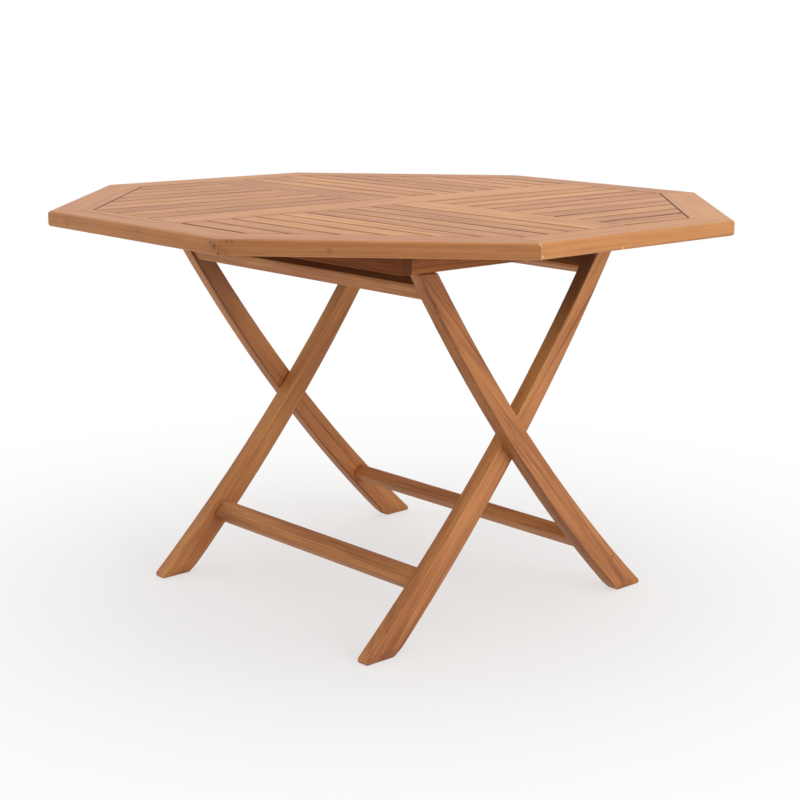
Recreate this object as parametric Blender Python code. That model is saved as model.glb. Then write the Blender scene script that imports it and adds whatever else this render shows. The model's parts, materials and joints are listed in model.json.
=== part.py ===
"""Octagonal folding garden table in teak.

Metres, +Z up. The origin is on the ground under the middle of the table top. X runs across the
two leg crossings and Y runs along the hinge lines. The inner leg frame hangs on the under-frame of
the top, the outer leg frame turns on the inner one, and both fold flat under the top.
"""
import math

import bmesh
import bpy
from mathutils import Matrix, Vector

# Overall sizes
TABLE_HEIGHT = 0.750
TOP_WIDTH = 1.200
FRAME_WIDTH = 0.699

# Fits
CLEARANCE = 0.0003
LEG_GAP = 0.0018
HEAD_GAP = 0.0008

# Octagonal rim
SIDES = 8
RIM_WIDTH = 0.074
RIM_THICKNESS = 0.027
RIM_EDGE_RADIUS = 0.005
EDGE_EASE = 0.0015

# Slats and cross battens
SLAT_THICKNESS = 0.020
SLAT_GAP = 0.005
SLATS_PER_QUARTER = 9
BATTEN_WIDTH = 0.088
DIAGONAL_GAP = 0.002
SLAT_TENON_LENGTH = 0.009
SLAT_TENON_SHOULDER = 0.006
CLEAT_WIDTH = 0.030
CLEAT_THICKNESS = 0.006
CLEAT_START = 0.100
CLEAT_SETBACK = 0.004

# Under-frame
BEARER_THICKNESS = 0.029
BEARER_DROP = 0.055
BEARER_LENGTH = 0.566
END_RAIL_THICKNESS = 0.020
BEARER_TENON_LENGTH = 0.012
BEARER_TENON_SHOULDER = 0.008

# Legs, each an arc that tapers from foot to hinge
LEG_THICKNESS = 0.029
LEG_FOOT_WIDTH = 0.0515
LEG_TOP_WIDTH = 0.0355
LEG_BOW = 0.029
LEG_EASE = 0.003
FOOT_REACH = 0.317
HINGE_SETBACK = 0.023
HINGE_DROP = 0.050

# Rails and stretchers of the two leg frames
UPPER_RAIL_DROP = 0.107
STRETCHER_HEIGHT = 0.115
RAIL_THICKNESS = 0.027
UPPER_RAIL_WIDTH = 0.032
INNER_STRETCHER_WIDTH = 0.038
OUTER_STRETCHER_WIDTH = 0.032
RAIL_EASE = 0.003
RAIL_TENON_LENGTH = 0.018
RAIL_TENON_SHOULDER = 0.007

# Crossing pins and hinge bolts
PIN_RADIUS = 0.005
PIN_SINK = 0.022
PIN_CHAMFER = 0.001
WASHER_RADIUS = 0.010
BOLT_HEAD_RADIUS = 0.010
BOLT_HEAD_HEIGHT = 0.004

# Steps of curved shapes
LEG_STEPS = 14
END_STEPS = 10
ROUND_STEPS = 24
CORNER_STEPS = 3

HALF_TOP = TOP_WIDTH / 2
RIM_INSIDE = HALF_TOP - RIM_WIDTH
RIM_BOTTOM = TABLE_HEIGHT - RIM_THICKNESS
SLAT_BOTTOM = TABLE_HEIGHT - SLAT_THICKNESS
TENON_LOW = SLAT_BOTTOM + SLAT_TENON_SHOULDER
TENON_HIGH = TABLE_HEIGHT - EDGE_EASE - SLAT_TENON_SHOULDER
GROOVE_LOW = TENON_LOW - CLEARANCE
GROOVE_HIGH = TENON_HIGH + CLEARANCE
BATTEN_HALF = BATTEN_WIDTH / 2
BOARD_REACH = RIM_INSIDE - CLEARANCE
SLAT_START = BATTEN_HALF + CLEARANCE
SLAT_PITCH = (RIM_INSIDE - BATTEN_HALF - SLAT_GAP) / SLATS_PER_QUARTER
SLAT_WIDTH = SLAT_PITCH - SLAT_GAP

OUTER_LEG_FACE = FRAME_WIDTH / 2
OUTER_LEG_BACK = OUTER_LEG_FACE - LEG_THICKNESS
INNER_LEG_FACE = OUTER_LEG_BACK - LEG_GAP
INNER_LEG_BACK = INNER_LEG_FACE - LEG_THICKNESS
BEARER_FACE = OUTER_LEG_FACE
BEARER_BACK = BEARER_FACE - BEARER_THICKNESS
BEARER_TOP = SLAT_BOTTOM - CLEARANCE
BEARER_BOTTOM = SLAT_BOTTOM - BEARER_DROP
LEG_HEAD = BEARER_BOTTOM - HEAD_GAP
HINGE_HEIGHT = TABLE_HEIGHT - HINGE_DROP
HINGE_REACH = BEARER_LENGTH / 2 - HINGE_SETBACK
UPPER_RAIL_HEIGHT = TABLE_HEIGHT - UPPER_RAIL_DROP

TEAK_LIGHT = (0.52, 0.31, 0.16)
TEAK_MID = (0.42, 0.22, 0.10)
TEAK_DEEP = (0.33, 0.16, 0.07)
STEEL = (0.55, 0.54, 0.52)


def clear_scene():
    """Remove every object that is already in the scene."""
    for item in list(bpy.data.objects):
        bpy.data.objects.remove(item, do_unlink=True)


def make_material(name, colour, roughness, metallic):
    """A Principled material of one colour."""
    material = bpy.data.materials.new(name)
    material.use_nodes = True
    shader = material.node_tree.nodes["Principled BSDF"]
    shader.inputs["Base Color"].default_value = (*colour, 1.0)
    shader.inputs["Roughness"].default_value = roughness
    shader.inputs["Metallic"].default_value = metallic
    return material


def add_hinge_line(name, place, parent=None):
    """An empty on a line that pieces turn about, at a place in the world."""
    line = bpy.data.objects.new(name, None)
    bpy.context.scene.collection.objects.link(line)
    start = Vector(parent["place"]) if parent else Vector()
    line.location = Vector(place) - start
    line.parent = parent
    line["place"] = list(place)
    return line


def add_object(name, shape, material, hinge=None):
    """A named piece from a bmesh in world places; a moving piece has its origin on its hinge line."""
    origin = Vector(hinge["place"]) if hinge else Vector()
    bmesh.ops.translate(shape, verts=shape.verts, vec=-origin)
    bmesh.ops.recalc_face_normals(shape, faces=shape.faces)
    mesh = bpy.data.meshes.new(name)
    shape.to_mesh(mesh)
    shape.free()
    mesh.materials.append(material)
    piece = bpy.data.objects.new(name, mesh)
    bpy.context.scene.collection.objects.link(piece)
    piece.parent = hinge
    return piece


def add_loft(name, rings, material, hinge=None):
    """A closed piece whose surface runs through rings that all have as many points."""
    shape = bmesh.new()
    loops = [[shape.verts.new(point) for point in ring] for ring in rings]
    count = len(rings[0])
    for low, high in zip(loops, loops[1:]):
        for i in range(count):
            j = (i + 1) % count
            shape.faces.new((low[i], low[j], high[j], high[i]))
    shape.faces.new(loops[0])
    shape.faces.new(loops[-1])
    return add_object(name, shape, material, hinge)


def add_box(name, low, high, material):
    """A plain box between two corners."""
    rings = []
    for z in (low[2], high[2]):
        rings.append([(low[0], low[1], z), (high[0], low[1], z), (high[0], high[1], z), (low[0], high[1], z)])
    return add_loft(name, rings, material)


def add_turned(name, x, z, profile, material, hinge=None):
    """A turned piece about a line along Y, from a profile of radii and places along Y."""
    rings = []
    for radius, y in profile:
        ring = []
        for step in range(ROUND_STEPS):
            turn = math.tau * step / ROUND_STEPS
            ring.append((x + radius * math.cos(turn), y, z + radius * math.sin(turn)))
        rings.append(ring)
    piece = add_loft(name, rings, material, hinge)
    piece.data.shade_smooth()
    piece.data.set_sharp_from_angle(angle=math.radians(40))
    return piece


def combine(piece, tool, operation):
    """Cut a tool's shape out of a piece, or join it to the piece."""
    tool.hide_render = True
    tool.display_type = "WIRE"
    modifier = piece.modifiers.new(tool.name, "BOOLEAN")
    modifier.operation = operation
    modifier.solver = "EXACT"
    modifier.object = tool


def eased_rectangle(half_a, half_b, ease):
    """Outline of a rectangle whose four corners are cut off at 45 degrees."""
    return [
        (-half_a + ease, -half_b),
        (half_a - ease, -half_b),
        (half_a, -half_b + ease),
        (half_a, half_b - ease),
        (half_a - ease, half_b),
        (-half_a + ease, half_b),
        (-half_a, half_b - ease),
        (-half_a, -half_b + ease),
    ]


def rim_section():
    """Section of a rim rail as distances from the middle of the top, and heights."""
    section = [(RIM_INSIDE + EDGE_EASE, RIM_BOTTOM)]
    centre = HALF_TOP - RIM_EDGE_RADIUS
    for height, start in ((RIM_BOTTOM + RIM_EDGE_RADIUS, -90), (TABLE_HEIGHT - RIM_EDGE_RADIUS, 0)):
        for step in range(CORNER_STEPS + 1):
            turn = math.radians(start + 90 * step / CORNER_STEPS)
            across = centre + RIM_EDGE_RADIUS * math.cos(turn)
            section.append((across, height + RIM_EDGE_RADIUS * math.sin(turn)))
    groove_bottom = RIM_INSIDE + SLAT_TENON_LENGTH
    section += [
        (RIM_INSIDE + EDGE_EASE, TABLE_HEIGHT),
        (RIM_INSIDE, TABLE_HEIGHT - EDGE_EASE),
        (RIM_INSIDE, GROOVE_HIGH),
        (groove_bottom, GROOVE_HIGH),
        (groove_bottom, GROOVE_LOW),
        (RIM_INSIDE, GROOVE_LOW),
        (RIM_INSIDE, RIM_BOTTOM + EDGE_EASE),
    ]
    return section


def make_rim(material):
    """Eight rails that meet in mitres round the slats, each grooved on its inner edge."""
    half_angle = math.pi / SIDES
    mitre_gap = CLEARANCE / 2 / math.cos(half_angle)
    for side in range(SIDES):
        turn = Matrix.Rotation(2 * half_angle * side, 3, "Z")
        rings = []
        for end in (-1, 1):
            ring = []
            for distance, height in rim_section():
                along = end * (distance * math.tan(half_angle) - mitre_gap)
                ring.append(turn @ Vector((distance, along, height)))
            rings.append(ring)
        add_loft(f"rim_rail_{side + 1}", rings, material)


def slat_end(across):
    """How far a slat runs out towards the rim, at a distance from the line that it runs along."""
    diagonal = (RIM_INSIDE - DIAGONAL_GAP) * math.sqrt(2) - across
    return min(BOARD_REACH, diagonal)


def slat_outline(near, far):
    """Plan of a slat that starts at a batten and ends at the rim, as places along and across it."""
    corner = (RIM_INSIDE - DIAGONAL_GAP) * math.sqrt(2) - BOARD_REACH
    outline = [(SLAT_START, near), (slat_end(near), near)]
    if near < corner < far:
        outline.append((BOARD_REACH, corner))
    outline += [(slat_end(far), far), (SLAT_START, far)]
    return outline


def add_tenon(shape, face):
    """A stub tenon on an end face of a slat, along the slat."""
    bmesh.ops.inset_individual(shape, faces=[face], thickness=SLAT_TENON_SHOULDER, use_even_offset=True)
    outward = math.copysign(SLAT_TENON_LENGTH, face.normal.x)
    tip = bmesh.ops.extrude_discrete_faces(shape, faces=[face])["faces"][0]
    bmesh.ops.translate(shape, verts=tip.verts, vec=(outward, 0, 0))


def add_slat(name, near, far, quarter_turn, material):
    """A slat of the quarter at +X and -Y, turned into its own quarter about the table's middle."""
    shape = bmesh.new()
    outline = slat_outline(near, far)
    floor = [shape.verts.new((along, -across, SLAT_BOTTOM)) for along, across in outline]
    roof = [shape.verts.new((along, -across, TABLE_HEIGHT - EDGE_EASE)) for along, across in outline]
    shape.faces.new(floor)
    top = shape.faces.new(roof[::-1])
    for i in range(len(outline)):
        j = (i + 1) % len(outline)
        shape.faces.new((floor[j], floor[i], roof[i], roof[j]))
    shape.normal_update()
    narrowest = 2 * SLAT_TENON_SHOULDER + EDGE_EASE
    for face in [face for face in shape.faces if abs(face.normal.x) > 0.5]:
        if min(edge.calc_length() for edge in face.edges) > narrowest:
            add_tenon(shape, face)
    bmesh.ops.inset_individual(shape, faces=[top], thickness=EDGE_EASE, depth=EDGE_EASE, use_even_offset=True)
    bmesh.ops.rotate(shape, verts=shape.verts, cent=(0, 0, 0), matrix=quarter_turn)
    return add_object(name, shape, material)


def add_cleat(name, near, far, quarter_turn, material):
    """A strip that joins two slats from below."""
    corners = [
        (CLEAT_START, near + CLEAT_SETBACK),
        (CLEAT_START + CLEAT_WIDTH, near + CLEAT_SETBACK),
        (CLEAT_START + CLEAT_WIDTH, far - CLEAT_SETBACK),
        (CLEAT_START, far - CLEAT_SETBACK),
    ]
    rings = []
    for height in (SLAT_BOTTOM - CLEAT_THICKNESS, SLAT_BOTTOM + EDGE_EASE):
        rings.append([quarter_turn @ Vector((along, -across, height)) for along, across in corners])
    return add_loft(name, rings, material)


def make_slats(material):
    """Four quarters of slats, each turned a right angle from the last; the outer two of each are a pair."""
    for quarter, name in enumerate(("front_right", "back_right", "back_left", "front_left")):
        quarter_turn = Matrix.Rotation(quarter * math.pi / 2, 3, "Z")
        for index in range(SLATS_PER_QUARTER):
            near = BATTEN_HALF + SLAT_GAP + index * SLAT_PITCH
            far = near + SLAT_WIDTH
            if index < SLATS_PER_QUARTER - 2:
                add_slat(f"slat_{name}_{index + 1}", near, far, quarter_turn, material)
            elif index == SLATS_PER_QUARTER - 2:
                pair = add_slat(f"slat_pair_{name}", near, far, quarter_turn, material)
                pair_near = near
            else:
                outermost = add_slat(f"outermost_{name}", near, far, quarter_turn, material)
                cleat = add_cleat(f"cleat_{name}", pair_near, far, quarter_turn, material)
                combine(pair, cleat, "UNION")
                combine(pair, outermost, "UNION")


def batten_section():
    """Section of a batten with a groove in each edge, as places across it and heights."""
    groove_bottom = BATTEN_HALF - SLAT_TENON_LENGTH
    half = [
        (BATTEN_HALF, SLAT_BOTTOM),
        (BATTEN_HALF, GROOVE_LOW),
        (groove_bottom, GROOVE_LOW),
        (groove_bottom, GROOVE_HIGH),
        (BATTEN_HALF, GROOVE_HIGH),
        (BATTEN_HALF, TABLE_HEIGHT - EDGE_EASE),
        (BATTEN_HALF - EDGE_EASE, TABLE_HEIGHT),
    ]
    return half + [(-across, height) for across, height in reversed(half)]


def add_batten(name, start, end, turn, material):
    """A batten along X from start to end, with a tenon at each end, turned into its place."""
    rings = []
    for along in (start, end):
        rings.append([turn @ Vector((along, across, height)) for across, height in batten_section()])
    batten = add_loft(name, rings, material)
    half = BATTEN_HALF - SLAT_TENON_LENGTH - SLAT_TENON_SHOULDER
    rings = []
    for along in (start - SLAT_TENON_LENGTH, end + SLAT_TENON_LENGTH):
        corners = [(-half, TENON_LOW), (half, TENON_LOW), (half, TENON_HIGH), (-half, TENON_HIGH)]
        rings.append([turn @ Vector((along, across, height)) for across, height in corners])
    combine(batten, add_loft(f"{name}_tenons", rings, material), "UNION")


def make_battens(material):
    """A long batten along X, and two short ones along Y that butt against it."""
    add_batten("batten_long", -BOARD_REACH, BOARD_REACH, Matrix.Identity(3), material)
    for name, quarters in (("batten_back", 1), ("batten_front", 3)):
        turn = Matrix.Rotation(quarters * math.pi / 2, 3, "Z")
        add_batten(name, SLAT_START, BOARD_REACH, turn, material)


def make_bearer(name, side, material):
    """A bearer along X with a tenon at each end and a hole for its hinge bolt."""
    centre = side * (BEARER_FACE + BEARER_BACK) / 2
    middle = (BEARER_TOP + BEARER_BOTTOM) / 2
    half_depth = (BEARER_TOP - BEARER_BOTTOM) / 2
    shoulder = BEARER_TENON_SHOULDER
    body = eased_rectangle(BEARER_THICKNESS / 2, half_depth, EDGE_EASE)
    tenon = eased_rectangle(BEARER_THICKNESS / 2 - shoulder, half_depth - shoulder, EDGE_EASE)
    half_length = BEARER_LENGTH / 2
    tip = half_length + BEARER_TENON_LENGTH
    layers = [(-tip, tenon), (-half_length, tenon), (-half_length, body)]
    layers += [(half_length, body), (half_length, tenon), (tip, tenon)]
    rings = [[(x, centre + a, middle + b) for a, b in outline] for x, outline in layers]
    bearer = add_loft(name, rings, material)
    radius = PIN_RADIUS + CLEARANCE
    hole = [(radius, side * (BEARER_BACK - LEG_GAP)), (radius, side * (BEARER_FACE + LEG_GAP))]
    tool = add_turned(f"{name}_bolt_hole", HINGE_REACH, HINGE_HEIGHT, hole, material)
    combine(bearer, tool, "DIFFERENCE")


def make_end_rail(name, end, material):
    """An end rail along Y that covers the bearers' ends and holds their tenons."""
    middle = (BEARER_TOP + BEARER_BOTTOM) / 2
    half_depth = (BEARER_TOP - BEARER_BOTTOM) / 2
    inside = BEARER_LENGTH / 2 + CLEARANCE
    centre = end * (inside + END_RAIL_THICKNESS / 2)
    outline = eased_rectangle(END_RAIL_THICKNESS / 2, half_depth, EDGE_EASE)
    rings = [[(centre + a, y, middle + b) for a, b in outline] for y in (-BEARER_FACE, BEARER_FACE)]
    rail = add_loft(name, rings, material)
    half_height = half_depth - BEARER_TENON_SHOULDER + CLEARANCE
    half_width = BEARER_THICKNESS / 2 - BEARER_TENON_SHOULDER + CLEARANCE
    mouth = BEARER_LENGTH / 2
    reach = sorted((end * mouth, end * (mouth + BEARER_TENON_LENGTH + CLEARANCE)))
    for side in (-1, 1):
        y = side * (BEARER_FACE + BEARER_BACK) / 2
        low = (reach[0], y - half_width, middle - half_height)
        high = (reach[1], y + half_width, middle + half_height)
        combine(rail, add_box(f"{name}_mortise_{side}", low, high, material), "DIFFERENCE")


def make_under_frame(material):
    """Two bearers between two end rails, all under the slats."""
    make_bearer("bearer_front", -1, material)
    make_bearer("bearer_back", 1, material)
    make_end_rail("end_rail_left", -1, material)
    make_end_rail("end_rail_right", 1, material)


def leg_line(share):
    """Point of an outer leg's middle line at a share of the way from its foot to its head."""
    foot = Vector((FOOT_REACH, 0.0))
    chord = Vector((-HINGE_REACH, HINGE_HEIGHT)) - foot
    radius = chord.length ** 2 / (8 * LEG_BOW) + LEG_BOW / 2
    along = (share - 0.5) * chord.length
    bow = math.sqrt(radius ** 2 - along ** 2) - (radius - LEG_BOW)
    across = Vector((-chord.y, chord.x)).normalized()
    return foot + chord * share + across * bow


def leg_direction(share):
    """Direction of an outer leg, upwards, at a share of the way from its foot."""
    step = 0.5 / LEG_STEPS
    return (leg_line(share + step) - leg_line(share - step)).normalized()


def leg_edge(share, edge):
    """Point of an outer leg at a share of its length: edge 0 is its middle line, 1 and -1 its edges."""
    direction = leg_direction(share)
    half_width = (LEG_FOOT_WIDTH + (LEG_TOP_WIDTH - LEG_FOOT_WIDTH) * share) / 2
    return leg_line(share) + edge * half_width * Vector((-direction.y, direction.x))


def find_share(is_below):
    """The share of a leg's length up to which a test holds, by halving."""
    low, high = -0.5, 1.5
    while high - low > 1e-9:
        middle = (low + high) / 2
        if is_below(middle):
            low = middle
        else:
            high = middle
    return low


def share_at(height, edge):
    """The share of a leg's length at which its middle line or one of its edges reaches a height."""
    return find_share(lambda share: leg_edge(share, edge).y < height)


def edge_points(edge, start, end):
    """Points along one edge of an outer leg between two shares of its length."""
    return [leg_edge(start + (end - start) * step / LEG_STEPS, edge) for step in range(LEG_STEPS + 1)]


def outer_leg_outline():
    """Side view of an outer leg, cut level at its foot and its head."""
    left = edge_points(1, share_at(0, 1), share_at(LEG_HEAD, 1))
    right = edge_points(-1, share_at(0, -1), share_at(LEG_HEAD, -1))
    return left + right[::-1]


def inner_leg_outline():
    """Side view of an inner leg: an outer one's mirror image, with a round head about its hinge."""
    left = edge_points(1, share_at(0, 1), 1)
    right = edge_points(-1, share_at(0, -1), 1)
    head = leg_line(1)
    arc = []
    for step in range(1, END_STEPS):
        turn = Matrix.Rotation(-math.pi * step / END_STEPS, 2)
        arc.append(head + turn @ (left[-1] - head))
    return [Vector((-point.x, point.y)) for point in left + arc + right[::-1]]


def add_leg(name, outline, low, high, material, hinge):
    """A leg of a given side view between two places along Y, with its edges rounded over."""
    rings = [[(point.x, y, point.y) for point in outline] for y in (low, high)]
    leg = add_loft(name, rings, material, hinge)
    bevel = leg.modifiers.new("rounded_edges", "BEVEL")
    bevel.width = LEG_EASE
    bevel.segments = 2
    bevel.limit_method = "ANGLE"
    bevel.angle_limit = math.radians(30)
    leg.data.shade_smooth()
    leg.data.set_sharp_from_angle(angle=math.radians(40))
    return leg


def rail_rings(height, side, width, layers):
    """Rings along Y of a rail set square to a leg, wider side along it; layers are places and shoulders."""
    share = share_at(height, 0)
    centre = leg_line(share)
    along = leg_direction(share)
    across = Vector((-along.y, along.x))
    rings = []
    for y, shoulder in layers:
        outline = eased_rectangle(width / 2 - shoulder, RAIL_THICKNESS / 2 - shoulder, RAIL_EASE)
        points = [centre + a * along + b * across for a, b in outline]
        rings.append([(side * point.x, y, point.y) for point in points])
    return rings


def make_rail(name, height, side, width, leg_face, legs, material, hinge):
    """A rail or stretcher between two legs, tenoned into both."""
    body = leg_face - CLEARANCE
    tip = leg_face + RAIL_TENON_LENGTH
    inset = RAIL_TENON_SHOULDER
    layers = [(-tip, inset), (-body, inset), (-body, 0), (body, 0), (body, inset), (tip, inset)]
    add_loft(name, rail_rings(height, side, width, layers), material, hinge)
    inset = RAIL_TENON_SHOULDER - CLEARANCE
    for leg, end in zip(legs, (-1, 1)):
        layers = [(end * (leg_face - LEG_GAP), inset), (end * (tip + CLEARANCE), inset)]
        rings = rail_rings(height, side, width, layers)
        combine(leg, add_loft(f"{name}_mortise_{end}", rings, material, hinge), "DIFFERENCE")


def drill(leg, name, place, start, end, material, hinge):
    """A round hole in a leg for a pin."""
    profile = [(PIN_RADIUS + CLEARANCE, start), (PIN_RADIUS + CLEARANCE, end)]
    combine(leg, add_turned(name, place.x, place.z, profile, material, hinge), "DIFFERENCE")


def make_crossing_pin(name, side, place, material, hinge):
    """A headless pin with its washer, for the blind holes of two crossing legs."""
    middle = (OUTER_LEG_BACK + INNER_LEG_FACE) / 2
    washer = LEG_GAP / 2 - CLEARANCE
    tip = LEG_GAP / 2 + PIN_SINK
    half = [
        (WASHER_RADIUS, washer),
        (PIN_RADIUS, washer),
        (PIN_RADIUS, tip - PIN_CHAMFER),
        (PIN_RADIUS - PIN_CHAMFER, tip),
    ]
    profile = [(radius, side * (middle - offset)) for radius, offset in reversed(half)]
    profile += [(radius, side * (middle + offset)) for radius, offset in half]
    add_turned(name, place.x, place.z, profile, material, hinge)


def make_hinge_bolt(name, side, place, material):
    """A bolt through a bearer into the head of an inner leg, with its washer between them."""
    seat = BEARER_FACE + CLEARANCE
    tip = INNER_LEG_FACE - PIN_SINK
    washer_out = BEARER_BACK - CLEARANCE
    washer_in = INNER_LEG_FACE + CLEARANCE
    profile = [
        (BOLT_HEAD_RADIUS / 2, seat + BOLT_HEAD_HEIGHT),
        (BOLT_HEAD_RADIUS, seat + BOLT_HEAD_HEIGHT / 2),
        (BOLT_HEAD_RADIUS, seat),
        (PIN_RADIUS, seat),
        (PIN_RADIUS, washer_out),
        (WASHER_RADIUS, washer_out),
        (WASHER_RADIUS, washer_in),
        (PIN_RADIUS, washer_in),
        (PIN_RADIUS, tip + PIN_CHAMFER),
        (PIN_RADIUS - PIN_CHAMFER, tip),
    ]
    profile = [(radius, side * y) for radius, y in profile]
    add_turned(name, place.x, place.z, profile, material)


def make_leg_frames(wood, deep_wood, steel):
    """Two leg frames that cross like scissors, and the pins and bolts that they turn on."""
    hinge = Vector((HINGE_REACH, 0, HINGE_HEIGHT))
    crossing = Vector((0, 0, leg_line(find_share(lambda share: leg_line(share).x > 0)).y))
    hinge_line = add_hinge_line("hinge_line", hinge)
    crossing_line = add_hinge_line("crossing_line", crossing, hinge_line)
    sink = PIN_SINK + CLEARANCE
    outer_legs = []
    inner_legs = []
    for name, side in (("front", -1), ("back", 1)):
        outer_faces = (side * OUTER_LEG_BACK, side * OUTER_LEG_FACE)
        inner_faces = (side * INNER_LEG_BACK, side * INNER_LEG_FACE)
        outer = add_leg(f"outer_leg_{name}", outer_leg_outline(), *outer_faces, wood, crossing_line)
        inner = add_leg(f"inner_leg_{name}", inner_leg_outline(), *inner_faces, wood, hinge_line)
        make_crossing_pin(f"crossing_pin_{name}", side, crossing, steel, hinge_line)
        make_hinge_bolt(f"hinge_bolt_{name}", side, hinge, steel)
        mouth = side * (OUTER_LEG_BACK - LEG_GAP)
        bottom = side * (OUTER_LEG_BACK + sink)
        drill(outer, f"{name}_outer_hole", crossing, mouth, bottom, wood, crossing_line)
        mouth = side * (INNER_LEG_FACE + LEG_GAP)
        bottom = side * (INNER_LEG_FACE - sink)
        drill(inner, f"{name}_inner_hole", crossing, mouth, bottom, wood, hinge_line)
        drill(inner, f"{name}_hinge_hole", hinge, mouth, bottom, wood, hinge_line)
        outer_legs.append(outer)
        inner_legs.append(inner)

    outer = (OUTER_LEG_BACK, outer_legs)
    inner = (INNER_LEG_BACK, inner_legs)
    top, low = UPPER_RAIL_HEIGHT, STRETCHER_HEIGHT
    make_rail("outer_top_rail", top, 1, UPPER_RAIL_WIDTH, *outer, deep_wood, crossing_line)
    make_rail("outer_stretcher", low, 1, OUTER_STRETCHER_WIDTH, *outer, wood, crossing_line)
    make_rail("inner_top_rail", top, -1, UPPER_RAIL_WIDTH, *inner, deep_wood, hinge_line)
    make_rail("inner_stretcher", low, -1, INNER_STRETCHER_WIDTH, *inner, wood, hinge_line)


def main():
    """Build the whole table."""
    clear_scene()
    light = make_material("teak_light", TEAK_LIGHT, 0.55, 0.0)
    mid = make_material("teak_mid", TEAK_MID, 0.55, 0.0)
    deep = make_material("teak_deep", TEAK_DEEP, 0.60, 0.0)
    steel = make_material("steel", STEEL, 0.35, 1.0)
    make_rim(light)
    make_battens(light)
    make_slats(light)
    make_under_frame(deep)
    make_leg_frames(mid, deep, steel)


if __name__ == "__main__":
    main()
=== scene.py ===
"""Looks of a folding garden table: oiled teak boards with grain and knots, steel pins, a pale studio.

Metres, +Z up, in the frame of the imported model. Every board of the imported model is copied, its edges
are rounded, and each of its points is given a place in the plank that the board was sawn from.
"""
import json
import math
import random

import bmesh
import bpy
from mathutils import Matrix, Vector

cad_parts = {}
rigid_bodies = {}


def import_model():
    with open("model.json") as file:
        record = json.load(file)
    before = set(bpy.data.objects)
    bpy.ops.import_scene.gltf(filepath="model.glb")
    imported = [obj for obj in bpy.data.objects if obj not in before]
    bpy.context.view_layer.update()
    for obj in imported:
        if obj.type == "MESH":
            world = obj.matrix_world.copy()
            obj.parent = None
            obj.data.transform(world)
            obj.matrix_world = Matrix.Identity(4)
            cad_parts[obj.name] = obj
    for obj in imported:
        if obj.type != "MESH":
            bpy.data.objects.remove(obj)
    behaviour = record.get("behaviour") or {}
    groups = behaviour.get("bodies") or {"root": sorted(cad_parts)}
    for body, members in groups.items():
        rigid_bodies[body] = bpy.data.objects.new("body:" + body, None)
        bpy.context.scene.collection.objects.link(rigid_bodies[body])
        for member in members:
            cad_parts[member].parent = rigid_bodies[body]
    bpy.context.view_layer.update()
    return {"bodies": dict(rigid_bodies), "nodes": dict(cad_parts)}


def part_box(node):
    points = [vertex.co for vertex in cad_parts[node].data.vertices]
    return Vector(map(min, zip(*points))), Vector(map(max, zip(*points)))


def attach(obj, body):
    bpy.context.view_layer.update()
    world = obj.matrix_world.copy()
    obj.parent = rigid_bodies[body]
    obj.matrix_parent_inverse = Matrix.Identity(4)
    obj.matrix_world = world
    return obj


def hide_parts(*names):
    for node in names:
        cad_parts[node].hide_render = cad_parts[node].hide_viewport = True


WHITE = (1.0, 1.0, 1.0)
ALONG_X = Vector((1, 0, 0))
ALONG_Y = Vector((0, 1, 0))
ALONG_Z = Vector((0, 0, 1))

# Camera of the photograph, its turns in degrees and its lens in millimetres
CAMERA_PLACE = (-2.0981, -2.2807, 1.0689)
CAMERA_YAW = 42.859
CAMERA_PITCH = 12.819
CAMERA_ROLL = 0.543
FOCAL_LENGTH = 73.51
SENSOR_WIDTH = 36.0
FURTHEST_SEEN = 100.0

# Studio
WORLD_LIGHT = 0.72
FRONT_POWER = 38.0
FRONT_SIZE = 2.2
FRONT_PLACE = (0.3, -3.8, 1.4)
FRONT_TARGET = (0, 0, 0.5)
TOP_POWER = 17.0
TOP_SIZE = 3.0
TOP_PLACE = (0.3, 0.3, 3.4)
TOP_TARGET = (0, 0, 0.7)
FLOOR_SIZE = 30.0
FLOOR_BOUNCE = 0.80
FLOOR_FADE_START = 0.3
FLOOR_FADE_END = 1.6
FLOOR_GLOW = 0.55

# Kinds of boards, by how their names start or what they hold
INSIDE_RIM = ("slat", "batten")
QUARTER_GRAIN = {
    "front_right": ALONG_X,
    "back_left": ALONG_X,
    "back_right": ALONG_Y,
    "front_left": ALONG_Y,
}

# Shapes of the boards, angles in degrees
RIM_SIDES = 8
WELD_DISTANCE = 1e-5
FLAT_ANGLE = 0.3
SHARP_EDGE = 18.0
CREASE = 55.0
EDGE_ROUND = 0.0007
EDGE_ROUND_STEPS = 2
EDGE_PROFILE = 0.5
SOLE_HEIGHT = 0.0005
SOLE_ROUND_STEPS = 5
SOLE_SIDE_ROUND = 0.003
TOE_ROUND = 0.0045
HEEL_ROUND = 0.010
MITRE_REACH = 0.0013
MITRE_HALF_GAP = 0.0001
OPEN_MITRE = (("rim_rail_6", 1.0), ("rim_rail_7", -1.0))
OPEN_MITRE_HALF_GAP = 0.0004

# How far a face turns towards an axis, as the part of its normal along it
NEARLY_LEVEL = 0.1
BARELY_TURNED = 0.2
PARTLY_TURNED = 0.3
HALF_TURNED = 0.5
MOSTLY_TURNED = 0.9
WIDE_FACE_TURN = 0.97

# How far a face on a rim rail's inner side turns inwards, times its distance from the table's middle
INWARD_TURN = 0.2

# Planks that the boards are sawn from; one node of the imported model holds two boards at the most
PLANK_SEED = 5622
BOARDS_IN_NODE = 2
PITH_NEAREST = 0.03
PITH_FURTHEST = 0.20
PLANK_LENGTH = 4.0
TONE_SPREAD = 0.085
HUE_SPREAD = 0.22
RIM_FIGURE = 0.50

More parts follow.
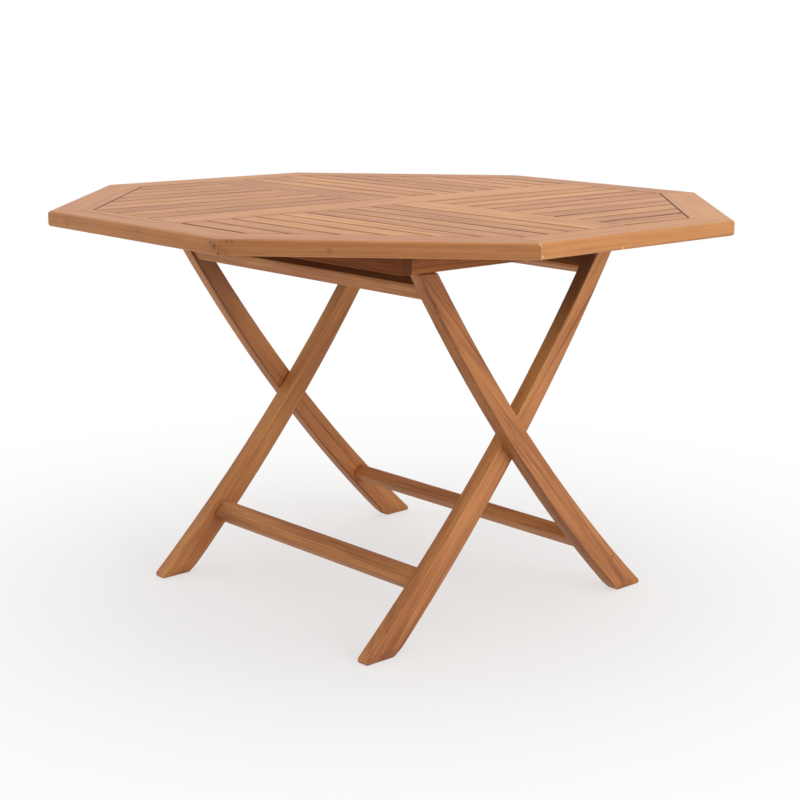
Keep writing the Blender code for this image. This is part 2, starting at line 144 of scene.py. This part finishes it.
# Boards that are darker or paler than the run of their kind
BOARD_TONES = {
    "rim_rail_5": -0.02,
    "rim_rail_6": -0.13,
    "rim_rail_7": -0.04,
    "rim_rail_8": 0.08,
    "bearer_front": -0.18,
    "end_rail_left": -0.14,
    "outer_top_rail": 0.12,
    "inner_top_rail": 0.22,
    "outer_stretcher": 0.08,
    "outer_leg_front": -0.07,
    "outer_leg_back": 0.17,
    "inner_leg_front": -0.11,
    "inner_leg_back": 0.18,
}

# Painted light along a leg: how much paler it is at its head, and darker at its foot, than at its middle
LEG_PAINTED_LIGHT_FADES = {
    "inner_leg_front": 0.19,
    "inner_leg_back": 0.17,
    "outer_leg_front": -0.08,
}

# How much paler, as painted light, the upper narrow face of a leg is than its wide faces; and worn edges
# than the rest, partly wear and partly painted highlight
NARROW_PAINTED_LIGHTS = {"inner_leg_front": 0.30, "inner_leg_back": 0.10}
WEAR_AND_HIGHLIGHT_TONE = 0.10

# How much painted shade darkens the wood: in gaps, on slat chamfers, at the lower edges and undersides of
# legs, on the rim's sides, and where the top above keeps the light off
EDGE_SHADE = 0.70
UNDERSIDE_SHADE = 0.12
CHAMFER_SHADE = 0.45
RIM_SIDE_SHADES = {"rim_rail_5": 0.06, "rim_rail_6": 0.42}
ROOF_SHADES = {"inner_leg_front": 1.24, "inner_leg_back": 0.72, "outer_leg_back": 0.88}
ROOF_START = 0.45
ROOF_END = 0.63

# Marks in the figure of teak; a stretch is how many times longer a mark is than it is wide
RING_PITCH = 0.0058
RING_SHARPNESS = 4.0
GRAIN_WAVE = 0.010
WAVE_LENGTH = 0.55
WAVE_WIDTH = 0.06
FIBRE_WIDTH = 0.0011
FIBRE_STRETCH = 60
STREAK_WIDTH = 0.006
STREAK_STRETCH = 45
CLOUD_WIDTH = 0.045
CLOUD_STRETCH = 7
PORE_WIDTH = 0.0006
PORE_STRETCH = 16
PORE_START = 0.66
PORE_END = 0.76

# How much each mark counts in the figure, which runs from 0 for dark wood to 1 for pale wood
FIGURE_MIDDLE = 0.54
STREAK_WEIGHT = 1.00
FIBRE_WEIGHT = 1.30
LATE_WEIGHT = -0.30

# How much each mark counts in the roughness and in the relief
ROUGH_FIBRES = 0.16
ROUGH_LATE = 0.06
ROUGH_PORES = 0.15
RELIEF_FIBRES = 0.6
RELIEF_LATE = -0.5
RELIEF_PORES = -0.9
RELIEF_KNOTS = -1.2
RELIEF_STRENGTH = 0.30
RELIEF_HEIGHT = 0.00025

# Colours of teak, and the most that each mark shows
TEAK_DARK = (0.240, 0.070, 0.021)
TEAK_MID = (0.512, 0.197, 0.065)
TEAK_LIGHT = (0.745, 0.345, 0.112)
TEAK_PINK = (0.600, 0.240, 0.098)
TEAK_OLIVE = (0.510, 0.215, 0.065)
KNOT_BROWN = (0.170, 0.050, 0.018)
CHIP_PALE = (0.880, 0.600, 0.360)
# Brown that the painted shade darkens the wood towards
PAINTED_SHADE_BROWN = (0.090, 0.032, 0.012)
PORE_SHARE = 0.45
SWERVE_SHARE = 0.22
KNOT_SHARE = 0.9
CHIP_SHARE = 0.9
# The most of the painted shade that shows
PAINTED_SHADE_SHARE = 0.62

# A knot's rim has so many dents for each metre; their depth, its core and the grain's swerve go by its reach
KNOT_DENTS = 420.0
KNOT_UNEVENNESS = 3.2
KNOT_CORE = 0.1
SWERVE_REACH = 6

# Knots and chips, each with its place and how far it reaches
TOP_KNOTS = {
    "corner_large": ((-0.6000, -0.2400, 0.7377), 0.0085),
    "corner_above": ((-0.6000, -0.2300, 0.7420), 0.0035),
    "corner_below": ((-0.5985, -0.2480, 0.7270), 0.0035),
    "past_corner": ((-0.5900, -0.2580, 0.7465), 0.0030),
    "past_corner_small": ((-0.5840, -0.2640, 0.7465), 0.0024),
    "left_side": ((-0.6000, 0.1881, 0.7352), 0.0025),
    "left_side_middle": ((-0.6000, -0.0305, 0.7405), 0.0022),
    "left_upper_face": ((-0.5239, 0.1382, 0.7500), 0.0022),
    "front_left_side": ((-0.4773, -0.3713, 0.7344), 0.0018),
}
LEG_KNOTS = {
    "inner_leg_head": ((0.2082, -0.3037, 0.6533), 0.0035),
    "outer_leg_foot": ((0.2593, -0.3495, 0.0750), 0.0030),
}
TOP_CHIPS = {
    "open_mitre_top": ((-0.2475, -0.5985, 0.7475), 0.0034),
    "open_mitre_edge": ((-0.2450, -0.6000, 0.7440), 0.0018),
    "open_mitre_bottom": ((-0.2418, -0.6000, 0.7285), 0.0030),
    "front_rail_bottom": ((-0.0498, -0.5990, 0.7262), 0.0032),
}

# Finishes: how light the wood is, how strong its figure and its patches are, how rough and glossy it is
TEAK_LOOKS = {
    "teak_top": {
        # The top's paler wood is partly its own tone and partly painted light falling on the top
        "light": 0.14,
        "contrast": 1.15,
        "patches": 0.80,
        "roughness": 0.46,
        "gloss": 0.31,
        "knots": TOP_KNOTS,
        "chips": TOP_CHIPS,
    },
    "teak_under_frame": {
        # Darker, as painted shade, for the frame under the top
        "light": -0.30,
        "contrast": 0.75,
        "patches": 0.70,
        "roughness": 0.60,
        "gloss": 0.10,
    },
    "teak_legs": {
        "light": -0.045,
        "contrast": 0.78,
        "patches": 1.75,
        "roughness": 0.52,
        "gloss": 0.30,
        "knots": LEG_KNOTS,
    },
}

# Turned steel; its marks and its stains are counted for each metre along X, Y and Z
STEEL_DARK = (0.42, 0.41, 0.39)
STEEL_PALE = (0.62, 0.61, 0.58)
STEEL_MARKS = (400.0, 6000.0, 400.0)
STEEL_STAINS = (180.0, 180.0, 180.0)
STEEL_ROUGHNESS = 0.22
STEEL_ROUGH_MARKS = 0.25
STEEL_RELIEF_STRENGTH = 0.2
STEEL_RELIEF_HEIGHT = 0.0002


class Nodes:
    """Adds nodes to one material's or world's node tree."""

    def __init__(self, tree):
        self.tree = tree

    def add(self, kind, inputs=None, **settings):
        node = self.tree.nodes.new(kind)
        for name, value in settings.items():
            setattr(node, name, value)
        for name, value in (inputs or {}).items():
            self.feed(node.inputs[name], value)
        return node

    def feed(self, socket, value):
        if isinstance(value, bpy.types.NodeSocket):
            self.tree.links.new(value, socket)
        else:
            socket.default_value = value

    def calc(self, operation, *values):
        node = self.add("ShaderNodeMath", operation=operation)
        for socket, value in zip(node.inputs, values):
            self.feed(socket, value)
        return node.outputs["Value"]

    def off_middle(self, noise):
        """How far a noise is above or below its middle."""
        return self.calc("SUBTRACT", noise, 0.5)

    def weighted(self, total, *terms):
        """A first value, and on top of it each of the others times its own weight."""
        for value, weight in terms:
            total = self.calc("MULTIPLY_ADD", value, weight, total)
        return total

    def vector(self, operation, *values, result="Vector"):
        node = self.add("ShaderNodeVectorMath", operation=operation)
        for socket, value in zip(node.inputs, values):
            self.feed(socket, value)
        return node.outputs[result]

    def ease(self, value, low, high, at_low=0.0):
        """A smooth change to 1 as a value goes from one bound to the other."""
        inputs = {"Value": value, "From Min": low, "From Max": high, "To Min": at_low}
        return self.add("ShaderNodeMapRange", inputs, interpolation_type="SMOOTHSTEP").outputs["Result"]

    def share(self, value, low, high):
        """How far a value is from one bound to the other, held between 0 and 1."""
        inputs = {"Value": value, "From Min": low, "From Max": high}
        return self.add("ShaderNodeMapRange", inputs, interpolation_type="LINEAR").outputs["Result"]

    def mix(self, share, first, second):
        """A colour that goes from the first to the second as a share goes from 0 to 1."""
        node = self.add("ShaderNodeMix", {"Factor": share}, data_type="RGBA")
        for name, value in (("A", first), ("B", second)):
            self.feed(node.inputs[name], value if isinstance(value, bpy.types.NodeSocket) else (*value, 1.0))
        return node.outputs["Result"]

    def mix_shaders(self, share, first, second):
        """A surface that goes from the first shader to the second as a share goes from 0 to 1."""
        node = self.add("ShaderNodeMixShader", {"Fac": share})
        _, first_socket, second_socket = node.inputs
        self.feed(first_socket, first)
        self.feed(second_socket, second)
        return node.outputs["Shader"]

    def noise(self, place, detail=2.0, roughness=0.5):
        inputs = {"Vector": place, "Scale": 1.0, "Detail": detail, "Roughness": roughness}
        return self.add("ShaderNodeTexNoise", inputs).outputs["Fac"]

    def stretched(self, place, length, width):
        """A place measured in units of a fibre's length and width."""
        return self.vector("MULTIPLY", place, (1 / length, 1 / width, 1 / width))

    def attribute(self, name, result="Fac"):
        return self.add("ShaderNodeAttribute", attribute_name=name).outputs[result]

    def parts(self, vector):
        """The X, Y and Z of a vector, by name."""
        return self.add("ShaderNodeSeparateXYZ", {"Vector": vector}).outputs

    def packed_place(self):
        """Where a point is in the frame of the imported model."""
        return self.add("ShaderNodeTexCoord").outputs["Object"]


def new_material(name):
    """A new material, its node tree and its main shader."""
    material = bpy.data.materials.new(name)
    material.use_nodes = True
    return material, Nodes(material.node_tree), material.node_tree.nodes["Principled BSDF"]


def add_object(name, data):
    """A new object in the scene."""
    item = bpy.data.objects.new(name, data)
    bpy.context.scene.collection.objects.link(item)
    return item


def add_relief(nodes, shader, relief, strength, height):
    """Make a surface look raised where a relief is high."""
    bump = nodes.add("ShaderNodeBump", {"Height": relief, "Strength": strength, "Distance": height})
    nodes.feed(shader.inputs["Normal"], bump.outputs["Normal"])


def knot_depth(nodes, place, knots):
    """How far inside a knot a place is, 1 at its middle, and how far the grain swerves round it."""
    depth = 0.0
    swerve = 0.0
    dents = nodes.noise(nodes.vector("MULTIPLY", place, (KNOT_DENTS,) * 3), detail=3.0, roughness=0.7)
    for centre, reach in knots.values():
        apart = nodes.vector("DISTANCE", place, centre, result="Value")
        uneven = nodes.weighted(apart, (nodes.off_middle(dents), KNOT_UNEVENNESS * reach))
        depth = nodes.calc("MAXIMUM", depth, nodes.ease(uneven, reach, KNOT_CORE * reach))
        swerve = nodes.calc("MAXIMUM", swerve, nodes.ease(apart, SWERVE_REACH * reach, 0.0))
    return depth, swerve


def late_wood(nodes, place, swerve):
    """The dark part of each year's ring round the pith, stronger in some years than in others."""
    wave = nodes.noise(nodes.stretched(place, WAVE_LENGTH, WAVE_WIDTH), detail=3.0)
    section = nodes.parts(place)
    across = nodes.add("ShaderNodeCombineXYZ", {"Y": section["Y"], "Z": section["Z"]})
    radius = nodes.vector("LENGTH", across.outputs["Vector"], result="Value")
    for shift in (wave, swerve):
        radius = nodes.calc("ADD", radius, nodes.calc("MULTIPLY", shift, GRAIN_WAVE))
    rings = nodes.calc("DIVIDE", radius, RING_PITCH)
    year = nodes.calc("FLOOR", rings)
    strength = nodes.add("ShaderNodeTexWhiteNoise", {"W": year}, noise_dimensions="1D").outputs["Value"]
    late = nodes.calc("SINE", nodes.calc("MULTIPLY", nodes.calc("FRACT", rings), math.pi))
    return nodes.calc("MULTIPLY", nodes.calc("POWER", late, RING_SHARPNESS), strength)


def long_marks(nodes, place):
    """The fibres, streaks, clouds and pores that run along a plank."""
    fibres = nodes.stretched(place, FIBRE_STRETCH * FIBRE_WIDTH, FIBRE_WIDTH)
    streaks = nodes.stretched(place, STREAK_STRETCH * STREAK_WIDTH, STREAK_WIDTH)
    clouds = nodes.stretched(place, CLOUD_STRETCH * CLOUD_WIDTH, CLOUD_WIDTH)
    pores = nodes.stretched(place, PORE_STRETCH * PORE_WIDTH, PORE_WIDTH)
    return (
        nodes.noise(fibres, detail=3.0, roughness=0.6),
        nodes.noise(streaks, detail=3.0, roughness=0.55),
        nodes.noise(clouds, detail=2.0),
        nodes.ease(nodes.noise(pores, detail=1.0), PORE_START, PORE_END),
    )


def teak_colour(nodes, figure, hue):
    """The colour of clean teak: its figure from dark to pale, and its hue towards pink or olive."""
    dark_half = nodes.mix(nodes.share(figure, 0.0, 0.5), TEAK_DARK, TEAK_MID)
    colour = nodes.mix(nodes.share(figure, 0.5, 1.0), dark_half, TEAK_LIGHT)
    pink = nodes.calc("MAXIMUM", hue, 0.0)
    olive = nodes.calc("MAXIMUM", nodes.calc("MULTIPLY", hue, -1.0), 0.0)
    colour = nodes.mix(nodes.calc("MULTIPLY", pink, figure), colour, TEAK_PINK)
    return nodes.mix(nodes.calc("MULTIPLY", olive, figure), colour, TEAK_OLIVE)


def shade_mask(nodes, height):
    """How much of each place's clean colour is lost to painted shade: in gaps, at lower edges and under the
    top.
    """
    roofed = nodes.calc("MULTIPLY", nodes.attribute("roofed"), nodes.ease(height, ROOF_START, ROOF_END))
    return nodes.calc("ADD", roofed, nodes.attribute("shaded"))


def wood_material(name, light, contrast, patches, roughness, gloss, knots=None, chips=None):
    """Oiled teak, from the place of each point in its plank."""
    material, nodes, shader = new_material(name)
    place = nodes.attribute("plank", "Vector")
    tone = nodes.parts(nodes.attribute("tone", "Vector"))
    packed_place = nodes.packed_place()
    depth, swerve = knot_depth(nodes, packed_place, knots) if knots else (0.0, 0.0)
    late = late_wood(nodes, place, swerve)
    fibres, streaks, clouds, pores = long_marks(nodes, place)

    figure = nodes.weighted(
        0.0,
        (nodes.off_middle(streaks), STREAK_WEIGHT),
        (nodes.off_middle(fibres), FIBRE_WEIGHT),
        (nodes.off_middle(clouds), patches),
        (late, LATE_WEIGHT),
    )
    figure = nodes.calc("MULTIPLY", figure, tone["Z"])
    figure = nodes.calc("MULTIPLY_ADD", figure, contrast, FIGURE_MIDDLE)
    # Paler wood: the board's tone with painted light along the legs, the finish's lightness, and each face's
    # wear, painted highlight and painted light
    for lighter in (tone["X"], light, nodes.attribute("wear_and_painted_light")):
        figure = nodes.calc("ADD", figure, lighter)

    stains = [
        (pores, PORE_SHARE, TEAK_DARK),
        (swerve, SWERVE_SHARE, TEAK_DARK),
        (depth, KNOT_SHARE, KNOT_BROWN),
    ]
    if chips:
        chipped, _ = knot_depth(nodes, packed_place, chips)
        stains.append((chipped, CHIP_SHARE, CHIP_PALE))
    # The last layer is painted shade: gaps, lower edges, undersides, rim sides and legs under the top go
    # towards a dark brown
    stains.append((shade_mask(nodes, nodes.parts(packed_place)["Z"]), PAINTED_SHADE_SHARE, PAINTED_SHADE_BROWN))
    colour = teak_colour(nodes, figure, tone["Y"])
    for mask, share, stain in stains:
        colour = nodes.mix(nodes.calc("MULTIPLY", mask, share), colour, stain)
    nodes.feed(shader.inputs["Base Color"], colour)
    shader.inputs["Specular IOR Level"].default_value = gloss

    smoothest = roughness - ROUGH_FIBRES / 2
    rough = nodes.weighted(smoothest, (fibres, ROUGH_FIBRES), (late, ROUGH_LATE), (pores, ROUGH_PORES))
    nodes.feed(shader.inputs["Roughness"], rough)
    relief = nodes.weighted(
        0.0, (fibres, RELIEF_FIBRES), (late, RELIEF_LATE), (pores, RELIEF_PORES), (depth, RELIEF_KNOTS)
    )
    add_relief(nodes, shader, relief, RELIEF_STRENGTH, RELIEF_HEIGHT)
    return material


def steel_material(name):
    """Turned steel with fine marks round it."""
    material, nodes, shader = new_material(name)
    place = nodes.packed_place()
    marks = nodes.noise(nodes.vector("MULTIPLY", place, STEEL_MARKS), detail=2.0)
    stains = nodes.noise(nodes.vector("MULTIPLY", place, STEEL_STAINS), detail=3.0)
    nodes.feed(shader.inputs["Base Color"], nodes.mix(stains, STEEL_DARK, STEEL_PALE))
    nodes.feed(shader.inputs["Roughness"], nodes.weighted(STEEL_ROUGHNESS, (marks, STEEL_ROUGH_MARKS)))
    shader.inputs["Metallic"].default_value = 1.0
    add_relief(nodes, shader, marks, STEEL_RELIEF_STRENGTH, STEEL_RELIEF_HEIGHT)
    return material


def rim_axes(name):
    """Directions out of the table and along the rim for one of its rails, counted round from +X."""
    turn = (int(name.rsplit("_", 1)[1]) - 1) * math.tau / RIM_SIDES
    return Vector((math.cos(turn), math.sin(turn), 0)), Vector((-math.sin(turn), math.cos(turn), 0))


def grain_direction(name):
    """Which way the fibres of a board run."""
    if name.startswith("rim_rail_"):
        _, along = rim_axes(name)
        return along
    for quarter, direction in QUARTER_GRAIN.items():
        if quarter in name:
            return direction
    if "_leg_" in name:
        low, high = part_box(name)
        rise = 1 if name.startswith("inner") else -1
        return Vector((rise * (high.x - low.x), 0, high.z - low.z)).normalized()
    if name == "batten_long" or name.startswith("bearer"):
        return ALONG_X
    return ALONG_Y


def plank_axes(name):
    """Axes of a board's plank as rows: along its fibres, across its face, and through its thickness."""
    along = grain_direction(name)
    through = ALONG_Y if ("_leg_" in name or name.startswith("bearer")) else ALONG_Z
    if name.startswith("end_rail"):
        through = ALONG_X
    across = through.cross(along).normalized()
    return Matrix((along, across, along.cross(across)))


def plank_offset(chance):
    """Where a board lay in its log: how far along it, and where the pith was."""
    turn = chance.uniform(0, math.tau)
    distance = chance.uniform(PITH_NEAREST, PITH_FURTHEST)
    return Vector((chance.uniform(0, PLANK_LENGTH), distance * math.cos(turn), distance * math.sin(turn)))


def off_mitre(name, place):
    """How far a rim rail's nearer mitre is from a place, at which end, and the direction along the rail."""
    out, along = rim_axes(name)
    side = math.copysign(1.0, place.dot(along))
    mitre = side * place.dot(out) * math.tan(math.pi / RIM_SIDES)
    return mitre - place.dot(along), side, along


def at_mitre(name, place):
    """Whether a place belongs to a mitre of a rim rail."""
    return name.startswith("rim") and abs(off_mitre(name, place)[0]) < MITRE_REACH


def round_edges(name, shape):
    """Round every sharp edge a little, but not at the mitres; the new faces are the ones made paler, partly
    for wear and partly as a painted highlight.
    """
    sharp = []
    for edge in shape.edges:
        folded = edge.is_manifold and edge.calc_face_angle() > math.radians(SHARP_EDGE)
        if folded and not all(at_mitre(name, vertex.co) for vertex in edge.verts):
            sharp.append(edge)
    made = bmesh.ops.bevel(
        shape,
        geom=sharp,
        offset=EDGE_ROUND,
        segments=EDGE_ROUND_STEPS,
        profile=EDGE_PROFILE,
        affect="EDGES",
        clamp_overlap=True,
    )
    return set(made["faces"])


def close_mitres(name, shape):
    """Push the ends of a rim rail almost up to its neighbours', as a glued mitre is; one has come open."""
    for vertex in shape.verts:
        if at_mitre(name, vertex.co):
            off, side, along = off_mitre(name, vertex.co)
            half_gap = OPEN_MITRE_HALF_GAP if (name, side) in OPEN_MITRE else MITRE_HALF_GAP
            vertex.co += (off - side * half_gap) * along


def round_corner(shape, corner, first, second, radius):
    """Cut the corner between two faces, given by their outward normals, down to an arc of planes."""
    inward = -(first + second) / (1 + first.dot(second))
    centre = corner + radius * inward
    for step in range(1, SOLE_ROUND_STEPS + 1):
        normal = first.lerp(second, step / (SOLE_ROUND_STEPS + 1)).normalized()
        cut = bmesh.ops.bisect_plane(
            shape,
            geom=list(shape.verts) + list(shape.edges) + list(shape.faces),
            plane_co=centre + radius * normal,
            plane_no=normal,
            clear_outer=True,
        )
        edges = [item for item in cut["geom_cut"] if isinstance(item, bmesh.types.BMEdge)]
        bmesh.ops.holes_fill(shape, edges=edges, sides=0)
    shape.normal_update()


def round_foot(name, shape):
    """Round a leg's foot off at its toe, its heel and both sides of its sole."""
    lean = grain_direction(name)
    sole = [vertex.co.copy() for vertex in shape.verts if vertex.co.z < SOLE_HEIGHT]
    for end in (-1, 1):
        corner = max(sole, key=lambda place: end * place.x).copy()
        narrow = Vector((end * lean.z, 0, -end * lean.x)).normalized()
        acute = narrow.z > 0
        round_corner(shape, corner, -ALONG_Z, narrow, TOE_ROUND if acute else HEEL_ROUND)
    for end in (-1, 1):
        corner = max(sole, key=lambda place: end * place.y).copy()
        round_corner(shape, corner, -ALONG_Z, end * ALONG_Y, SOLE_SIDE_ROUND)


def is_narrow(face):
    """Whether a leg's face is one of its two narrow ones."""
    return abs(face.normal.y) < BARELY_TURNED


def is_eased(face):
    """Whether a leg's face is part of a rounded long edge, between a narrow face and a wide one."""
    return BARELY_TURNED < abs(face.normal.y) < WIDE_FACE_TURN


def is_chamfer(name, face):
    """Whether a face slopes along the upper edge of a slat or a batten."""
    return name.startswith(INSIDE_RIM) and HALF_TURNED < face.normal.z < MOSTLY_TURNED


def in_gap(name, face):
    """Whether a face lies in a gap or turns up against the underside of the top."""
    middle = face.calc_center_median()
    if name.startswith(INSIDE_RIM):
        return face.normal.z < HALF_TURNED
    if name.startswith("rim"):
        return at_mitre(name, middle) or face.normal.xy.dot(middle.xy) < -INWARD_TURN
    if name.startswith("end_rail"):
        return abs(face.normal.y) > HALF_TURNED
    return "top_rail" in name and face.normal.z > HALF_TURNED


def shade_of(name, face):
    """How far painted shade darkens the wood of a face: in gaps, under the top, at lower edges and on the
    rim's sides.
    """
    if "_leg_" in name:
        if face.normal.z > -NEARLY_LEVEL:
            return 0.0
        return EDGE_SHADE if is_eased(face) else UNDERSIDE_SHADE
    if is_chamfer(name, face):
        runs_with_grain = abs(face.normal.dot(grain_direction(name))) < BARELY_TURNED
        return CHAMFER_SHADE if runs_with_grain else 0.0
    if in_gap(name, face):
        return 1.0
    return RIM_SIDE_SHADES.get(name, 0.0) if abs(face.normal.z) < PARTLY_TURNED else 0.0


def roof_shade_of(name, face):
    """How far painted shade darkens a leg's face that turns to the top's underside or stands far in below
    it.
    """
    if name.startswith("inner_leg"):
        roofed = face.normal.x < -PARTLY_TURNED and face.normal.z > 0
    else:
        roofed = name == "outer_leg_back" and face.normal.y < -MOSTLY_TURNED
    return ROOF_SHADES[name] if roofed else 0.0


def wear_and_light_of(name, face, is_worn_and_highlit):
    """How much paler a face is: worn edges partly for wear and partly as a painted highlight, and the upper
    narrow faces of a leg as painted light.
    """
    paler = WEAR_AND_HIGHLIGHT_TONE if is_worn_and_highlit else 0.0
    if name in NARROW_PAINTED_LIGHTS and face.normal.z > NEARLY_LEVEL:
        if is_eased(face):
            paler += NARROW_PAINTED_LIGHTS[name] / 2
        elif is_narrow(face):
            paler += NARROW_PAINTED_LIGHTS[name]
    return paler


def board_shape(name, node):
    """A board's shape with its edges rounded, and those of its faces made paler for wear and as a painted
    highlight.
    """
    shape = bmesh.new()
    shape.from_mesh(node.data)
    bmesh.ops.remove_doubles(shape, verts=shape.verts, dist=WELD_DISTANCE)
    flat = math.radians(FLAT_ANGLE)
    bmesh.ops.dissolve_limit(shape, angle_limit=flat, verts=shape.verts, edges=shape.edges)
    if "_leg_" in name:
        round_foot(name, shape)
        return shape, {face for face in shape.faces if is_eased(face)}
    worn_and_highlit_faces = round_edges(name, shape)
    close_mitres(name, shape)
    return shape, set() if name.startswith(INSIDE_RIM) else worn_and_highlit_faces


def mark_faces(name, shape, worn_and_highlit_faces):
    """Note on each face its wear with painted highlight and painted light, its painted shade, and the
    painted shade that the top casts on it.
    """
    wear_and_painted_light = shape.faces.layers.float.new("wear_and_painted_light")
    shaded = shape.faces.layers.float.new("shaded")
    roofed = shape.faces.layers.float.new("roofed")
    for face in shape.faces:
        face[shaded] = shade_of(name, face)
        face[roofed] = roof_shade_of(name, face)
        face[wear_and_painted_light] = wear_and_light_of(name, face, face in worn_and_highlit_faces and not face[shaded])
        face.smooth = True


def mark_points(name, shape, chance):
    """Note on each point its place in its plank, and its tone: how pale, how pink, how strong in figure."""
    low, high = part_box(name)
    middle = (low + high) / 2
    axes = plank_axes(name)
    own_tone = BOARD_TONES.get(name, 0.0)
    strength = RIM_FIGURE if name.startswith("rim") else 1.0
    offsets = [plank_offset(chance) for _ in range(BOARDS_IN_NODE)]
    tones = []
    for _ in range(BOARDS_IN_NODE):
        paleness = own_tone + chance.gauss(0, TONE_SPREAD)
        tones.append(Vector((paleness, chance.gauss(0, HUE_SPREAD), strength)))
    plank = shape.verts.layers.float_vector.new("plank")
    tone = shape.verts.layers.float_vector.new("tone")
    # Painted light along the leg: paler at its head, darker at its foot
    fade = LEG_PAINTED_LIGHT_FADES.get(name, 0.0)
    for vertex in shape.verts:
        place = axes @ (vertex.co - middle)
        board = 1 if "pair" in name and place.y > 0 else 0
        rise = 2 * (vertex.co.z - middle.z) / (high.z - low.z)
        vertex[plank] = place + offsets[board]
        vertex[tone] = tones[board] + fade * rise * ALONG_X


def dress_board(name, node, body, material, chance):
    """A copy of a board with rounded edges and its place in its plank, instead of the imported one."""
    shape, worn_and_highlit_faces = board_shape(name, node)
    mark_faces(name, shape, worn_and_highlit_faces)
    mark_points(name, shape, chance)
    mesh = bpy.data.meshes.new(f"{name}_board")
    shape.to_mesh(mesh)
    shape.free()
    mesh.set_sharp_from_angle(angle=math.radians(CREASE))
    mesh.materials.append(material)
    piece = add_object(f"{name}_board", mesh)
    flat = piece.modifiers.new("flat_faces", "WEIGHTED_NORMAL")
    flat.keep_sharp = True
    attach(piece, body)
    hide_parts(name)


def slot_of(name):
    """The finish that a board takes: the top's, the under-frame's or the legs'."""
    if name.startswith(("rim", *INSIDE_RIM)):
        return "teak_top"
    if name.startswith(("bearer", "end_rail")):
        return "teak_under_frame"
    return "teak_legs"


def dress_table(frame):
    """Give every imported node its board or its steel."""
    looks = {finish: wood_material(f"oiled_{finish}", **look) for finish, look in TEAK_LOOKS.items()}
    steel = steel_material("turned_steel")
    chance = random.Random(PLANK_SEED)
    for body, empty in frame["bodies"].items():
        members = sorted(name for name, node in frame["nodes"].items() if node.parent is empty)
        for name in members:
            node = frame["nodes"][name]
            if "pin" in name or "bolt" in name:
                for slot in node.material_slots:
                    slot.material = steel
                continue
            slot_name = slot_of(name)
            dress_board(name, node, body, looks[slot_name], chance)


def add_camera():
    """The camera of the photograph, from its turn, its tilt and its roll."""
    yaw, pitch, roll = map(math.radians, (CAMERA_YAW, CAMERA_PITCH, CAMERA_ROLL))
    ahead = math.cos(pitch)
    forward = Vector((math.sin(yaw) * ahead, math.cos(yaw) * ahead, -math.sin(pitch)))
    level = Vector((math.cos(yaw), -math.sin(yaw), 0))
    upright = level.cross(forward)
    right = math.cos(roll) * level + math.sin(roll) * upright
    up = math.cos(roll) * upright - math.sin(roll) * level
    data = bpy.data.cameras.new("camera")
    data.lens = FOCAL_LENGTH
    data.sensor_width = SENSOR_WIDTH
    data.clip_end = FURTHEST_SEEN
    camera = add_object("camera", data)
    turned = Matrix((right, up, -forward)).transposed().to_4x4()
    camera.matrix_world = Matrix.Translation(CAMERA_PLACE) @ turned
    bpy.context.scene.camera = camera


def add_lamp(name, place, target, size, power):
    """A square soft lamp that faces a target."""
    data = bpy.data.lights.new(name, "AREA")
    data.shape = "SQUARE"
    data.size = size
    data.energy = power
    lamp = add_object(name, data)
    lamp.location = place
    lamp.rotation_euler = (Vector(target) - Vector(place)).to_track_quat("-Z", "Y").to_euler()


def seen_by_eye(nodes):
    """1 on rays that show the background, straight or through a reflection, and 0 on rays that light."""
    path = nodes.add("ShaderNodeLightPath")
    straight = nodes.calc("MAXIMUM", path.outputs["Is Camera Ray"], path.outputs["Is Glossy Ray"])
    return nodes.calc("MAXIMUM", straight, path.outputs["Is Transmission Ray"])


def add_world():
    """A plain white room that shows as white and lights softly."""
    world = bpy.data.worlds.new("room")
    bpy.context.scene.world = world
    world.use_nodes = True
    nodes = Nodes(world.node_tree)
    background = world.node_tree.nodes["Background"]
    background.inputs["Color"].default_value = (*WHITE, 1.0)
    strength = nodes.calc("MULTIPLY_ADD", seen_by_eye(nodes), 1.0 - WORLD_LIGHT, WORLD_LIGHT)
    nodes.feed(background.inputs["Strength"], strength)


def floor_material(name):
    """Pale near the table, where it keeps the shadow, then fading to the room's white; clear from below."""
    material, nodes, _ = new_material(name)
    seen = seen_by_eye(nodes)
    matt = nodes.add("ShaderNodeBsdfDiffuse", {"Color": nodes.mix(seen, (FLOOR_BOUNCE,) * 3, WHITE)})
    glow = nodes.add("ShaderNodeEmission", {"Color": (*WHITE, 1.0), "Strength": 1.0})
    distance = nodes.vector("LENGTH", nodes.packed_place(), result="Value")
    fade = nodes.ease(distance, FLOOR_FADE_START, FLOOR_FADE_END, FLOOR_GLOW)
    fade = nodes.calc("MULTIPLY", fade, seen)
    shown = nodes.mix_shaders(fade, matt.outputs["BSDF"], glow.outputs["Emission"])
    below = nodes.add("ShaderNodeNewGeometry").outputs["Backfacing"]
    clear = nodes.add("ShaderNodeBsdfTransparent").outputs["BSDF"]
    surface = nodes.mix_shaders(nodes.calc("MULTIPLY", below, seen), shown, clear)
    nodes.feed(material.node_tree.nodes["Material Output"].inputs["Surface"], surface)
    return material


def add_floor():
    """A wide level floor under the table."""
    half = FLOOR_SIZE / 2
    mesh = bpy.data.meshes.new("floor")
    corners = [(-half, -half, 0), (half, -half, 0), (half, half, 0), (-half, half, 0)]
    mesh.from_pydata(corners, [], [(0, 1, 2, 3)])
    mesh.materials.append(floor_material("floor_white"))
    floor = add_object("floor", mesh)


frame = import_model()
dress_table(frame)
add_camera()
add_lamp("front_lamp", FRONT_PLACE, FRONT_TARGET, FRONT_SIZE, FRONT_POWER)
add_lamp("top_lamp", TOP_PLACE, TOP_TARGET, TOP_SIZE, TOP_POWER)
add_world()
add_floor()
bpy.context.scene.view_settings.view_transform = "Standard"
